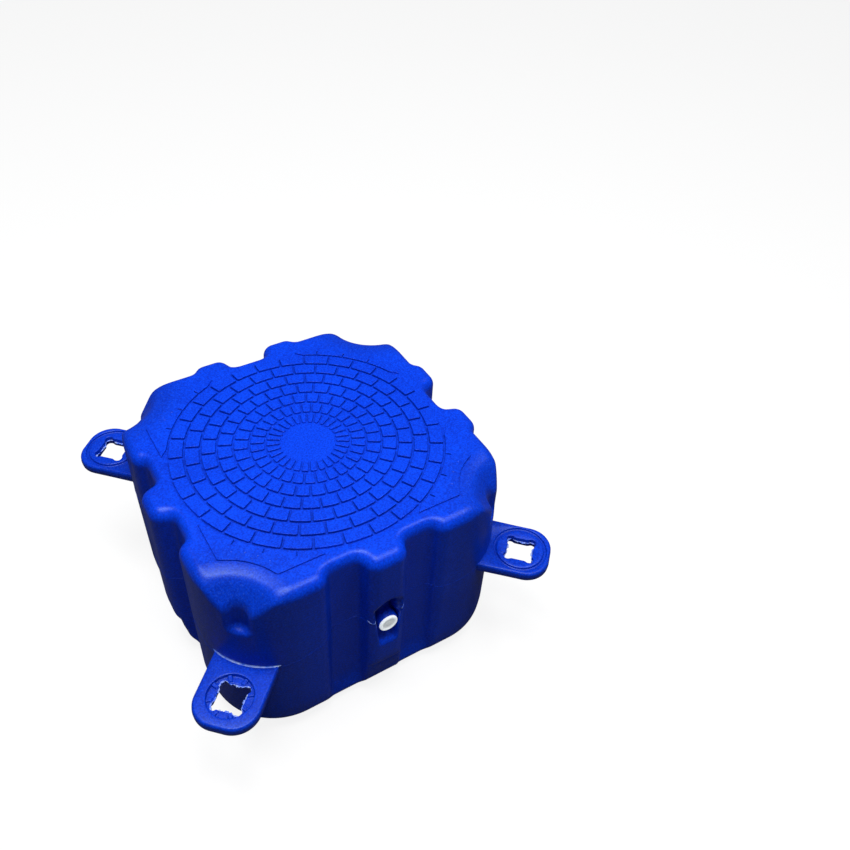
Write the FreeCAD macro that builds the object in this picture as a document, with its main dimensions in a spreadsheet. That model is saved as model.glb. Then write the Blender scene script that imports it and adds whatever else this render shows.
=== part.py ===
import FreeCAD, Part
import Sketcher
import math
import os

# Floating dock cube: one hollow float of a modular dock, with four lugs that
# step up from corner to corner, a brick tread on its deck and a screwed plug
# in its front side.
#
# Millimetres. The origin is the centre of the base and +Z is up. The lug
# holes stand on the dock's square grid. The plug is in the side at -Y.

V = FreeCAD.Vector
FACING_FRONT = FreeCAD.Rotation(V(1, 0, 0), 90)

# The driving dimensions: name, value, meaning
DIMENSIONS = [
    ("grid_half", 250, "centre of the float to a lug hole, along X and along Y"),
    ("side_gap", 2.5, "grid line to the wall beside each corner"),
    ("deck_height", 353, "base to the smooth deck"),
    ("wall", 5.5, "thickness of the moulded wall"),
    ("skin", 0.5, "how far the base form stands outside the wavy walls"),
    ("over", 10, "how far a cutting form runs past the faces it cuts"),
    # The wavy walls: two sides carry one lobe between two recesses, and the
    # other two carry two lobes beside one recess, so that floats interlock
    ("recess_depth", 19, "recess floor behind the wall"),
    ("lobe_reach", 13, "lobe crest in front of the wall"),
    ("shoulder_place", 89, "middle of each outer slope, from the side's centre"),
    ("crest_place", 32.5, "middle of each inner slope, from the side's centre"),
    ("slope_run", 6, "half of a slope's width along the side"),
    ("slope_shift", 3, "how far the cavity's slopes stand behind the outer ones"),
    ("crest_round", 20, "radius of the outward bends in plan"),
    ("root_round", 16, "radius of the inward bends in plan"),
    ("plan_round", 115, "radius of the float's corners in plan"),
    ("deck_round", 18, "radius of the deck's edge"),
    ("base_round", 52, "radius of the base's edge"),
    ("lobe_foot", 84, "base to the underside of a lobe"),
    ("lobe_round", 20, "radius of a lobe's lower edge"),
    # The scoop and the notch at each corner, about the lug hole's axis
    ("scoop_low", 30, "scoop radius at its lowest point"),
    ("scoop_top", 90.5, "scoop radius at the deck"),
    ("scoop_depth", 72, "deck to the scoop's lowest point"),
    ("rim_low", 71, "radius of the scoop's flat rim where it starts"),
    ("rim_top", 127, "radius of the scoop's flat rim where it ends"),
    ("rim_depth", 13, "half of the height of the scoop's rim"),
    ("notch_place", 33, "lug hole to the notch's axis, along X and along Y"),
    ("notch_radius", 17.5, "radius of the notch"),
    ("notch_depth", 83, "deck to the notch's floor"),
    ("notch_round", 8, "radius around the notch's floor"),
    # The lugs, one plate above the next
    ("lug_level", 175, "base to the underside of the lowest lug"),
    ("lug_thick", 16, "thickness of a lug, and the step between two lugs"),
    ("lug_half", 49.75, "half of a lug's width, and lug hole to the lug's outer end"),
    ("lug_root", 80, "lug hole to the lug's inner end, inside the float's wall"),
    ("lug_round", 39, "radius of the lug's outer corners"),
    ("lug_edge", 2, "radius of the lug's rims"),
    ("hole_half", 21.5, "half of the square hole's side"),
    ("ear_place", 17, "hole's axis to the centre of each round ear, along each side"),
    ("ear_radius", 7, "radius of each round ear"),
    ("seat_radius", 33.75, "radius of the pin's seat in the lowest lug"),
    ("seat_depth", 6, "depth of the pin's seat"),
    ("stop_half", 3, "half of the width of a stop in the seat"),
    ("stop_height", 3, "height of a stop above the seat's floor"),
    ("stop_inner", 24.5, "hole's axis to a stop's inner end"),
    ("stop_root", 2, "how far a stop runs into the lug below and behind it"),
    ("stop_count", 8, "stops around the seat"),
    ("ring_inner", 39, "inner radius of the ring groove"),
    ("ring_outer", 42.5, "outer radius of the ring groove"),
    ("ring_depth", 1.5, "depth of the ring groove"),
    # The plug, its neck and the niche around them
    ("plug_level", 193, "base to the plug's axis"),
    ("niche_half", 23, "half of the niche's width at its arch"),
    ("niche_foot", 13, "half of the niche's width below the ramp's foot"),
    ("niche_arch", 38, "plug's axis to the centre of the niche's arch"),
    ("niche_floor", 12, "grid line back to the niche's floor"),
    ("niche_ramp", 30, "plug's axis to the top of the ramp below it"),
    ("ramp_foot", 49, "plug's axis to the foot of the ramp"),
    ("ramp_reach", 14, "grid line out to the foot of the ramp"),
    ("neck_radius", 17, "radius of the neck"),
    ("neck_reach", 6, "grid line out to the neck's end"),
    ("neck_root", 3, "niche floor to the neck's root inside the wall"),
    ("neck_bore", 12, "radius of the neck's bore"),
    ("bore_length", 40, "neck's end to the inner end of the bore's cut"),
    ("seal_seat", 14.3, "radius of the seal's seat"),
    ("seal_thick", 2, "thickness of the seal"),
    ("seal_play", 0.3, "clearance around the seal and the stem"),
    ("head_radius", 15, "radius of the plug's head"),
    ("head_thick", 4, "thickness of the plug's head"),
    ("head_edge", 1.2, "radius of the head's edge"),
    ("dish_radius", 10.5, "radius of the dish in the head"),
    ("dish_depth", 1.6, "depth of the dish in the head"),
    ("stem_length", 20, "length of the plug's stem"),
    # The tread
    ("tread_rise", 2, "height of the bricks above the deck"),
    ("tread_root", 2, "depth of the tread's root in the deck"),
    ("tread_start", 43.5, "inner radius of the first ring of bricks"),
    ("ring_pitch", 24.5, "distance from ring to ring"),
    ("joint_half", 2, "half of the groove between bricks"),
    ("ring_count", 7, "rings of bricks"),
    ("brick_count", 30, "bricks in a ring"),
    ("panel_edge", 42, "grid line to a corner panel's straight edges"),
    ("panel_end", 76, "side's centre to a corner panel's nearer end"),
    ("panel_scoop", 111, "lug hole to a corner panel's round edge"),
    ("stub_half", 1.25, "half of the width of a short groove in a panel"),
    ("stub_length", 9, "length of a short groove in a panel"),
]

doc = FreeCAD.newDocument("FloatingDockCube")
sheet = doc.addObject("Spreadsheet::Sheet", "Sizes")
for row, (alias, amount, meaning) in enumerate(DIMENSIONS, 1):
    sheet.set(f"A{row}", alias)
    sheet.set(f"B{row}", str(amount))
    sheet.set(f"C{row}", meaning)
    sheet.setAlias(f"B{row}", alias)
doc.recompute()


# Sums of named sizes. They place every corner, so a sketch's first drawing
# and its bound constraints come from the same words.

def total(terms):
    """The value of a sum of named sizes, such as 'grid_half - side_gap'."""
    amount = 0.0
    sign = 1
    for word in terms.split():
        if word in ("+", "-"):
            sign = 1 if word == "+" else -1
        else:
            amount += sign * getattr(sheet, word)
            sign = 1
    return amount


def bound(terms):
    """The same sum as an expression on the sheet."""
    return " ".join(word if word in ("+", "-") else "Sizes." + word for word in terms.split())


def negated(terms):
    """The same sum with every sign turned."""
    words = terms.split()
    if words[0] not in ("+", "-"):
        words.insert(0, "+")
    turn = {"+": "-", "-": "+"}
    return " ".join(turn.get(word, word) for word in words)


def signed(sign, terms):
    return terms if sign == "+" else negated(terms)


def bind(feature, **sums):
    """Bind properties of a feature to sums of sizes."""
    for name, terms in sums.items():
        feature.setExpression(name, bound(terms))


def place(feature, x="", y="", z=""):
    """Bind a feature's position to sums of sizes."""
    for axis, terms in (("x", x), ("y", y), ("z", z)):
        if terms:
            feature.setExpression(f"Placement.Base.{axis}", bound(terms))


# Drawing and shaping

def new_body(label):
    body = doc.addObject("PartDesign::Body", label)
    body.Label = label
    return body


def origin_part(body, role):
    return [item for item in body.Origin.OriginFeatures if item.Role == role][0]


def sketch_on(body, name, role, offset=""):
    """A sketch on one of a body's own planes, lifted along its normal."""
    sketch = body.newObject("Sketcher::SketchObject", name)
    sketch.AttachmentSupport = [(origin_part(body, role), "")]
    sketch.MapMode = "FlatFace"
    if offset:
        sketch.setExpression("AttachmentOffset.Base.z", bound(offset))
    return sketch


def hold(sketch, kind, first, amount, expression):
    """A driving constraint on the items in first, bound to an expression."""
    index = sketch.addConstraint(Sketcher.Constraint(kind, *first, amount))
    sketch.setExpression(f"Constraints[{index}]", expression)


def fix_point(sketch, geometry, end, x, y):
    """Hold a point of the sketch at sums of sizes; an empty sum is the axis."""
    for kind, axis, terms in (("DistanceX", -2, x), ("DistanceY", -1, y)):
        if terms:
            hold(sketch, kind, (-1, 1, geometry, end), total(terms), bound(terms))
        else:
            sketch.addConstraint(Sketcher.Constraint("PointOnObject", geometry, end, axis))


def draw_polygon(sketch, corners):
    """A closed polygon through corners given as pairs of sums of sizes."""
    points = [V(total(x), total(y), 0) for x, y in corners]
    count = len(points)
    for k in range(count):
        sketch.addGeometry(Part.LineSegment(points[k], points[(k + 1) % count]))
    for k in range(count):
        sketch.addConstraint(Sketcher.Constraint("Coincident", k, 2, (k + 1) % count, 1))
    for k, (x, y) in enumerate(corners):
        fix_point(sketch, k, 1, x, y)


def draw_circle(sketch, x, y, radius):
    """A circle with its centre and radius given as sums of sizes."""
    circle = Part.Circle(V(total(x), total(y), 0), V(0, 0, 1), total(radius))
    index = sketch.addGeometry(circle)
    fix_point(sketch, index, 3, x, y)
    hold(sketch, "Radius", (index,), total(radius), bound(radius))


def pad(body, sketch, length, name):
    feature = body.newObject("PartDesign::Pad", name)
    feature.Profile = sketch
    bind(feature, Length=length)
    doc.recompute()
    return feature


def pocket(body, sketch, length, name):
    """Cut down from the sketch."""
    feature = body.newObject("PartDesign::Pocket", name)
    feature.Profile = sketch
    bind(feature, Length=length)
    before = body.Shape.Volume
    doc.recompute()
    if not body.Shape.Volume < before:
        raise RuntimeError(name + " cuts nothing")
    return feature


def repeat(body, feature, count, name, angle="360 deg"):
    """Copies of a feature around the body's Z axis, spread over an angle."""
    pattern = body.newObject("PartDesign::PolarPattern", name)
    pattern.Originals = [feature]
    pattern.Axis = (origin_part(body, "Z_Axis"), [""])
    pattern.setExpression("Angle", angle)
    pattern.setExpression("Occurrences", count)
    body.Tip = pattern
    doc.recompute()
    return pattern


def is_upright(edge):
    """True for a straight edge along Z."""
    ends = [vertex.Point for vertex in edge.Vertexes]
    if len(ends) < 2:
        return False
    return math.hypot(ends[0].x - ends[1].x, ends[0].y - ends[1].y) < 1e-6


def is_level(edge, level):
    """True for an edge that lies flat at a height."""
    box = edge.BoundBox
    return abs(box.ZMin - level) < 1e-6 and abs(box.ZMax - level) < 1e-6


def stands_at(edge, places):
    """True for an upright edge at one of the places."""
    if not is_upright(edge):
        return False
    point = edge.Vertexes[0].Point
    return any(math.hypot(point.x - x, point.y - y) < 1e-4 for x, y in places)


def round_edges(body, base, test, radius, name):
    """A fillet on the edges of the base feature that pass the test."""
    feature = body.newObject("PartDesign::Fillet", name)
    chosen = [f"Edge{k}" for k, edge in enumerate(base.Shape.Edges, 1) if test(edge)]
    feature.Base = (base, chosen)
    bind(feature, Radius=radius)
    doc.recompute()
    return feature


def joined(kind, name, shapes):
    """A union or an intersection of several objects."""
    feature = doc.addObject(kind, name)
    feature.Shapes = shapes
    doc.recompute()
    return feature


def fused(name, shapes):
    return joined("Part::MultiFuse", name, shapes)


def shared(name, shapes):
    return joined("Part::MultiCommon", name, shapes)


def cut(name, base, tool):
    feature = doc.addObject("Part::Cut", name)
    feature.Base = base
    feature.Tool = tool
    doc.recompute()
    return feature


# The walls' outline. A side is drawn along u, with v pointing outwards, and
# then turned to its place. The front and the left carry one lobe, the right
# and the back carry two. The cavity's outline is the same one, drawn inside.

SIDES = (("front", False), ("right", True), ("back", True), ("left", False))


def side_points(two_lobes, inside):
    """Corner points of one side of the outline, as sums for u and v."""
    wall_line = "grid_half - side_gap" + (" - wall" if inside else "")
    crest = wall_line + " + lobe_reach"
    floor = wall_line + " - recess_depth"
    wider = " + slope_shift" if inside else ""
    narrower = " - slope_shift" if inside else ""
    if two_lobes:
        shoulder = "shoulder_place" + narrower
        middle = "crest_place" + wider
        levels = (wall_line, crest, crest, floor)
    else:
        shoulder = "shoulder_place" + wider
        middle = "crest_place" + narrower
        levels = (wall_line, floor, floor, crest)
    places = (
        shoulder + " + slope_run",
        shoulder + " - slope_run",
        middle + " + slope_run",
        middle + " - slope_run",
    )
    before = [(negated(u), v) for u, v in zip(places, levels)]
    after = list(zip(places, levels))[::-1]
    return before + after


def turned(u, v, side):
    """Turn a point of a side's own drawing to its place on the float."""
    if side == "front":
        return u, negated(v)
    if side == "right":
        return v, u
    if side == "back":
        return negated(u), v
    return negated(v), negated(u)


def outline_bends(corners):
    """Where the outline bends, as lists of points for each kind of bend."""
    points = [(total(x), total(y)) for x, y in corners]
    found = {"plan": [], "crest": [], "root": []}
    for k, (x, y) in enumerate(points):
        before = points[k - 1]
        after = points[(k + 1) % len(points)]
        turn = (x - before[0]) * (after[1] - y) - (y - before[1]) * (after[0] - x)
        if k % (len(points) // len(SIDES)) == 0:
            found["plan"].append((x, y))
        else:
            found["crest" if turn > 0 else "root"].append((x, y))
    return found


def wavy_block(name, inside):
    """The float's walls and rounded deck edge, cut off square below the base."""
    shell = " - wall" if inside else ""
    wall_line = "grid_half - side_gap" + shell
    body = new_body(name)
    corners = []
    for side, two_lobes in SIDES:
        corners.append(turned(negated(wall_line), wall_line, side))
        corners += [turned(u, v, side) for u, v in side_points(two_lobes, inside)]
    sketch = sketch_on(body, name + "_outline", "XY_Plane", "- over")
    draw_polygon(sketch, corners)
    rounded = pad(body, sketch, "deck_height + over" + shell, name + "_block")
    places = outline_bends(corners)
    radii = (
        ("plan", "plan_round" + shell),
        ("crest", "crest_round" + shell),
        ("root", "root_round" + (" + wall" if inside else "")),
    )
    for kind, radius in radii:
        rounded = round_edges(body, rounded, lambda edge: stands_at(edge, places[kind]),
                              radius, f"{name}_{kind}_bends")
    top = total("deck_height" + shell)
    round_edges(body, rounded, lambda edge: is_level(edge, top), "deck_round" + shell,
                name + "_deck_edge")
    return body


# The base's rounding: a plain block for the walls joined with a larger one
# for the lobes, which end above the base

def base_block(name, reach, foot, radius, inside):
    """A block with rounded corners and a rounded lower edge."""
    shell = " - wall" if inside else ""
    side = "grid_half - side_gap + skin" + reach + shell
    body = new_body(name)
    bottom = " + ".join(word for word in (foot, "wall" if inside else "") if word)
    sketch = sketch_on(body, name + "_plan", "XY_Plane", bottom)
    minus = negated(side)
    draw_polygon(sketch, [(minus, minus), (side, minus), (side, side), (minus, side)])
    block = pad(body, sketch, "deck_height + over" + (" - " + foot if foot else ""),
                name + "_block")
    corners = [(x * total(side), y * total(side)) for x in (-1, 1) for y in (-1, 1)]
    block = round_edges(body, block, lambda edge: stands_at(edge, corners),
                        "plan_round" + reach + shell, name + "_corners")
    level = total(bottom)
    round_edges(body, block, lambda edge: is_level(edge, level), radius + shell,
                name + "_base_edge")
    return body


# What is taken out of the float's block: the corner scoops with their
# notches, and the niche. The cavity's copies are larger by the wall.

CORNERS = (("front_left", "-", "-"), ("front_right", "+", "-"),
           ("back_right", "+", "+"), ("back_left", "-", "+"))


def corner_cutters(name, x_sign, y_sign, inside):
    """The scoop, its flat rim and the notch of one corner, about the lug hole's axis."""
    grown = " + wall" if inside else ""
    node_x = signed(x_sign, "grid_half")
    node_y = signed(y_sign, "grid_half")
    scoop = doc.addObject("Part::Cone", name + "_scoop")
    bind(scoop, Radius1="scoop_low" + grown, Radius2="scoop_top" + grown, Height="scoop_depth")
    place(scoop, node_x, node_y, "deck_height - scoop_depth")
    rim = doc.addObject("Part::Cone", name + "_rim")
    bind(rim, Radius1="rim_low" + grown, Radius2="rim_top" + grown, Height="rim_depth + rim_depth")
    place(rim, node_x, node_y, "deck_height - rim_depth")
    notch_x = signed(x_sign, "grid_half - notch_place")
    notch_y = signed(y_sign, "grid_half - notch_place")
    notch = new_body(name + "_notch")
    floor = "deck_height - notch_depth" + (" - wall" if inside else "")
    face = sketch_on(notch, name + "_notch_floor", "XY_Plane", floor)
    draw_circle(face, notch_x, notch_y, "notch_radius" + grown)
    shaft = pad(notch, face, "notch_depth" + grown, name + "_notch_shaft")
    level = total(floor)
    round_edges(notch, shaft, lambda edge: is_level(edge, level), "notch_round" + grown,
                name + "_notch_edge")
    return [scoop, rim, notch]


def niche_cutter(name, inside):
    """The arched niche around the plug's neck, with a ramp at its foot."""
    grown = " + wall" if inside else ""
    lowered = " - wall" if inside else ""
    half = "niche_half" + grown
    narrow = "niche_foot" + grown
    floor = "grid_half - niche_floor" + lowered
    front = "grid_half + ramp_reach"
    depth = "niche_floor + lobe_reach + over" + grown
    spring = "plug_level + niche_arch"
    top = spring + " + niche_half + over"
    foot = "plug_level - ramp_foot" + lowered
    below = foot + " - over"

    arch = new_body(name + "_arch")
    face = sketch_on(arch, name + "_face", "XZ_Plane", floor)
    draw_polygon(face, [
        (negated(narrow), below),
        (narrow, below),
        (half, spring),
        (negated(half), spring),
    ])
    pad(arch, face, depth, name + "_shaft")

    crown = doc.addObject("Part::Cylinder", name + "_crown")
    bind(crown, Radius=half, Height=depth)
    crown.Placement.Rotation = FACING_FRONT
    place(crown, "", negated(floor), spring)

    slab = new_body(name + "_slab")
    section = sketch_on(slab, name + "_section", "YZ_Plane", negated(half))
    draw_polygon(section, [
        (negated(floor), top),
        (negated(floor), "plug_level - niche_ramp" + lowered),
        (negated(front), foot),
        (negated(front + " + over"), foot),
        (negated(front + " + over"), top),
    ])
    pad(slab, section, half + " + " + half, name + "_sides")
    return shared(name, [fused(name + "_opening", [arch, crown]), slab])


def float_form(name, inside):
    """The float's form without lugs and neck: the outer one, or the cavity."""
    walls = wavy_block(name + "_walls", inside)
    base = base_block(name + "_base", "", "", "base_round", inside)
    lobes = base_block(name + "_lobes", " + lobe_reach", "lobe_foot", "lobe_round", inside)
    block = shared(name + "_block", [walls, fused(name + "_support", [base, lobes])])
    cutters = [niche_cutter(name + "_niche", inside)]
    for corner, x_sign, y_sign in CORNERS:
        cutters += corner_cutters(f"{name}_{corner}", x_sign, y_sign, inside)
    return cut(name, block, fused(name + "_cutters", cutters))


# The lugs. A lug is drawn with its hole on its own axis and its outer end at
# +X, and then set at its corner. The lowest lug holds the pin's seat, and the
# others have a ring groove on top.

LUGS = (
    ("front_left_lug", "-", "-", 225, "lug_level"),
    ("front_right_lug", "+", "-", 315, "lug_level + lug_thick"),
    ("back_right_lug", "+", "+", 45, "lug_level + lug_thick + lug_thick"),
    ("back_left_lug", "-", "+", 135, "lug_level + lug_thick + lug_thick + lug_thick"),
)


def lug_hole(body, name):
    """A square hole with a round ear at each of its corners."""
    square = sketch_on(body, name + "_square", "XY_Plane", "lug_thick + over")
    low = negated("hole_half")
    draw_polygon(square, [
        (low, low),
        ("hole_half", low),
        ("hole_half", "hole_half"),
        (low, "hole_half"),
    ])
    pocket(body, square, "lug_thick + over + over", name + "_hole")
    for corner, x_sign, y_sign in CORNERS:
        ear = sketch_on(body, f"{name}_{corner}_circle", "XY_Plane", "lug_thick + over")
        draw_circle(ear, signed(x_sign, "ear_place"), signed(y_sign, "ear_place"), "ear_radius")
        pocket(body, ear, "lug_thick + over + over", f"{name}_{corner}_ear")


def pin_seat(body, name):
    """A round seat in the lug's top, with stops that stand around the hole."""
    circle = sketch_on(body, name + "_seat_circle", "XY_Plane", "lug_thick")
    draw_circle(circle, "", "", "seat_radius")
    pocket(body, circle, "seat_depth", name + "_seat")
    plan = sketch_on(body, name + "_stop_plan", "XY_Plane", "lug_thick - seat_depth - stop_root")
    plan.setExpression("AttachmentOffset.Rotation.Angle", "180 deg / Sizes.stop_count")
    draw_polygon(plan, [
        ("stop_inner", "- stop_half"),
        ("seat_radius + stop_root", "- stop_half"),
        ("seat_radius + stop_root", "stop_half"),
        ("stop_inner", "stop_half"),
    ])
    stop = pad(body, plan, "stop_height + stop_root", name + "_stop")
    repeat(body, stop, "Sizes.stop_count", name + "_stops")


def ring_groove(body, name):
    plan = sketch_on(body, name + "_ring_plan", "XY_Plane", "lug_thick")
    draw_circle(plan, "", "", "ring_inner")
    draw_circle(plan, "", "", "ring_outer")
    pocket(body, plan, "ring_depth", name + "_ring")


def lug(name, x_sign, y_sign, degrees, level):
    """One lug at its corner, turned so that its outer end points away from the float."""
    body = new_body(name)
    plan = sketch_on(body, name + "_plan", "XY_Plane")
    low = negated("lug_half")
    root = negated("lug_root")
    draw_polygon(plan, [(root, low), ("lug_half", low), ("lug_half", "lug_half"), (root, "lug_half")])
    plate = pad(body, plan, "lug_thick", name + "_plate")
    ends = [(sheet.lug_half, side * sheet.lug_half) for side in (-1, 1)]
    plate = round_edges(body, plate, lambda edge: stands_at(edge, ends), "lug_round",
                        name + "_end_corners")

    def on_rim(edge):
        """True on the plate's upper and lower rims, but not at its root."""
        flat = is_level(edge, 0) or is_level(edge, sheet.lug_thick)
        return flat and edge.BoundBox.XMax > 1 - sheet.lug_root

    round_edges(body, plate, on_rim, "lug_edge", name + "_rims")
    lug_hole(body, name)
    if level == "lug_level":
        pin_seat(body, name)
    else:
        ring_groove(body, name)
    body.Placement.Rotation = FreeCAD.Rotation(V(0, 0, 1), degrees)
    place(body, signed(x_sign, "grid_half"), signed(y_sign, "grid_half"), level)
    return body


# The plug, its seal and the neck that they close

def front_cylinder(name, radius, start, length):
    """A cylinder about the plug's axis, from a start in front of the centre outwards."""
    cylinder = doc.addObject("Part::Cylinder", name)
    bind(cylinder, Radius=radius, Height=length)
    cylinder.Placement.Rotation = FACING_FRONT
    place(cylinder, "", negated(start), "plug_level")
    return cylinder


def turned_piece(label, corners):
    """A piece turned about the plug's axis, drawn as radius and distance from the neck's end."""
    body = new_body(label)
    section = sketch_on(body, label + "_section", "XZ_Plane")
    draw_polygon(section, corners)
    turning = body.newObject("PartDesign::Revolution", label + "_turned")
    turning.Profile = section
    turning.ReferenceAxis = (section, ["V_Axis"])
    turning.Angle = 360
    doc.recompute()
    body.Placement.Rotation = FACING_FRONT
    place(body, "", "- grid_half - neck_reach", "plug_level")
    return body, turning


def vent_plug():
    """The plug: a dished head on a plain stem."""
    stem = "neck_bore - seal_play"
    dish = "head_thick - dish_depth"
    body, turning = turned_piece("vent_plug", [
        ("", "- stem_length"),
        (stem, "- stem_length"),
        (stem, ""),
        ("head_radius", ""),
        ("head_radius", "head_thick"),
        ("dish_radius", "head_thick"),
        ("dish_radius - dish_depth", dish),
        ("", dish),
    ])
    rim = sheet.head_radius

    def on_edge(edge):
        """True on the outer edge of the head's face."""
        return is_level(edge, sheet.head_thick) and abs(edge.Curve.Radius - rim) < 1e-6

    round_edges(body, turning, on_edge, "head_edge", "vent_plug_edge")
    return body


def plug_seal():
    """The flat ring in the neck's end, under the plug's head."""
    rim = "seal_seat - seal_play"
    return turned_piece("plug_seal", [
        ("neck_bore", "- seal_thick"),
        (rim, "- seal_thick"),
        (rim, ""),
        ("neck_bore", ""),
    ])[0]


# The tread: rings of raised bricks, each ring turned half a brick from the
# one inside it, and a raised panel at each corner

def brick_corner(radius):
    """A brick's corner at a radius, beside the groove: its values, and its expressions."""
    half = math.pi / sheet.brick_count
    groove = sheet.joint_half
    along = math.sqrt(total(radius) ** 2 - groove ** 2)
    values = (along * math.cos(half) + groove * math.sin(half),
              along * math.sin(half) - groove * math.cos(half))
    turn = "180 deg / Sizes.brick_count"
    reach = f"sqrt(({bound(radius)}) ^ 2 - Sizes.joint_half ^ 2)"
    expressions = (f"{reach} * cos({turn}) + Sizes.joint_half * sin({turn})",
                   f"{reach} * sin({turn}) - Sizes.joint_half * cos({turn})")
    return values, expressions


def draw_brick(sketch, inner, outer):
    """A brick across the X axis between two radii, with arcs about the centre."""
    (x_in, y_in), (x_in_bound, y_in_bound) = brick_corner(inner)
    (x_out, y_out), (x_out_bound, y_out_bound) = brick_corner(outer)
    corners = [
        (V(x_in, -y_in, 0), x_in_bound, f"-({y_in_bound})"),
        (V(x_out, -y_out, 0), x_out_bound, f"-({y_out_bound})"),
        (V(x_out, y_out, 0), x_out_bound, y_out_bound),
        (V(x_in, y_in, 0), x_in_bound, y_in_bound),
    ]
    points = [corner[0] for corner in corners]
    sketch.addGeometry(Part.LineSegment(points[0], points[1]))
    sketch.addGeometry(Part.LineSegment(points[2], points[3]))
    for near, far, radius in ((1, 2, outer), (0, 3, inner)):
        circle = Part.Circle(V(0, 0, 0), V(0, 0, 1), total(radius))
        angle = math.atan2(points[far].y, points[far].x)
        index = sketch.addGeometry(Part.ArcOfCircle(circle, -angle, angle))
        line_of = {0: (0, 1), 1: (0, 2), 2: (1, 1), 3: (1, 2)}
        sketch.addConstraint(Sketcher.Constraint("Coincident", index, 1, *line_of[near]))
        sketch.addConstraint(Sketcher.Constraint("Coincident", index, 2, *line_of[far]))
        sketch.addConstraint(Sketcher.Constraint("PointOnObject", index, 3, -2))
    ends = ((0, 1), (0, 2), (1, 1), (1, 2))
    for (geometry, end), (point, x_bound, y_bound) in zip(ends, corners):
        hold(sketch, "DistanceX", (-1, 1, geometry, end), point.x, x_bound)
        hold(sketch, "DistanceY", (-1, 1, geometry, end), point.y, y_bound)


def ring_start(ring):
    """Where a ring of the tread starts, as a sum of sizes."""
    return "tread_start" + " + ring_pitch" * ring


def brick_rings():
    """Every ring of bricks, rooted in the deck."""
    body = new_body("tread_bricks")
    for ring in range(int(sheet.ring_count)):
        plan = sketch_on(body, f"ring_{ring + 1}_plan", "XY_Plane", "deck_height - tread_root")
        if ring % 2 == 1:
            plan.setExpression("AttachmentOffset.Rotation.Angle", "180 deg / Sizes.brick_count")
        draw_brick(plan, ring_start(ring), ring_start(ring + 1) + " - joint_half - joint_half")
        brick = pad(body, plan, "tread_root + tread_rise", f"ring_{ring + 1}_brick")
        repeat(body, brick, "Sizes.brick_count", f"ring_{ring + 1}")
    return body


def corner_panel(name, x_sign, y_sign):
    """The raised field between the rings and one corner, before its round edges are cut."""
    body = new_body(name)
    plan = sketch_on(body, name + "_plan", "XY_Plane", "deck_height - tread_root")
    edge = "grid_half - panel_edge"
    draw_polygon(plan, [
        (signed(x_sign, edge), signed(y_sign, "panel_end")),
        (signed(x_sign, edge), signed(y_sign, edge)),
        (signed(x_sign, "panel_end"), signed(y_sign, edge)),
    ])
    pad(body, plan, "tread_root + tread_rise", name + "_field")
    return body


# The first short groove of each panel, counted in bricks from +X
STUB_STARTS = (3, 10, 18, 25)
STUBS = 3


def short_grooves(first):
    """The short grooves at a panel's inner edge, which carry on the bricks' joints."""
    name = f"grooves_from_{first}"
    body = new_body(name)
    plan = sketch_on(body, name + "_plan", "XY_Plane", "deck_height")
    start = ring_start(int(sheet.ring_count))
    draw_polygon(plan, [
        (start + " - over", "- stub_half"),
        (start + " + stub_length", "- stub_half"),
        (start + " + stub_length", "stub_half"),
        (start + " - over", "stub_half"),
    ])
    groove = pad(body, plan, "tread_rise + over", name + "_groove")
    repeat(body, groove, str(STUBS), name + "_row", f"{STUBS - 1} * 360 deg / Sizes.brick_count")
    body.setExpression("Placement.Rotation.Angle", f"{first} * 360 deg / Sizes.brick_count")
    return body


def corner_panels():
    panels = [corner_panel(f"{corner}_panel", x, y) for corner, x, y in CORNERS]
    disc = doc.addObject("Part::Cylinder", "rings_disc")
    bind(disc, Radius=ring_start(int(sheet.ring_count)), Height="deck_height + over")
    cutters = [disc]
    for corner, x_sign, y_sign in CORNERS:
        post = doc.addObject("Part::Cylinder", f"{corner}_panel_cutter")
        bind(post, Radius="panel_scoop", Height="deck_height + over")
        place(post, signed(x_sign, "grid_half"), signed(y_sign, "grid_half"))
        cutters.append(post)
    cutters += [short_grooves(first) for first in STUB_STARTS]
    return cut("tread_panels", fused("panel_fields", panels), fused("panel_cutters", cutters))


# The pieces

def float_body():
    """The whole moulding: walls, lugs, neck and tread around the cavity."""
    neck = front_cylinder("neck", "neck_radius", "grid_half - niche_floor - neck_root",
                          "neck_root + niche_floor + neck_reach")
    bore = front_cylinder("neck_bore", "neck_bore", "grid_half + neck_reach - bore_length",
                          "bore_length + over")
    seat = front_cylinder("neck_seat", "seal_seat", "grid_half + neck_reach - seal_thick",
                          "seal_thick + over")
    lugs = [lug(*entry) for entry in LUGS]
    outside = fused("outside", [float_form("outer_form", False), neck] + lugs)
    hollow = cut("hollow", outside, float_form("cavity", True))
    shell = cut("shell", hollow, fused("neck_cutters", [bore, seat]))
    whole = fused("float_body", [shell, brick_rings(), corner_panels()])
    whole.Label = "float_body"
    return whole


pieces = [float_body(), vent_plug(), plug_seal()]
doc.recompute()

for item in doc.Objects:
    if "Invalid" in item.State or "Error" in item.State:
        raise RuntimeError(f"{item.Name} did not compute: {item.State}")
for piece in pieces:
    if piece.Shape.isNull() or not piece.Shape.isValid():
        raise RuntimeError(f"{piece.Label} has no valid shape")
    if len(piece.Shape.Solids) != 1:
        raise RuntimeError(f"{piece.Label} is {len(piece.Shape.Solids)} solids")

os.makedirs("parts", exist_ok=True)
for piece in pieces:
    piece.Shape.exportStep(f"parts/{piece.Label}.step")
    print(piece.Label, round(piece.Shape.Volume / 1000, 1), "cm3")
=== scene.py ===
"""Floating dock cube: one blow-moulded float with stepped corner lugs, a brick tread and a vent plug.

Sizes are in millimetres until a mesh is made, which is in metres. The origin is the centre of the base,
+Z is up and the plug is in the side at -Y.
"""

import math
import bpy
import numpy as np
from mathutils import Matrix, Vector


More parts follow.
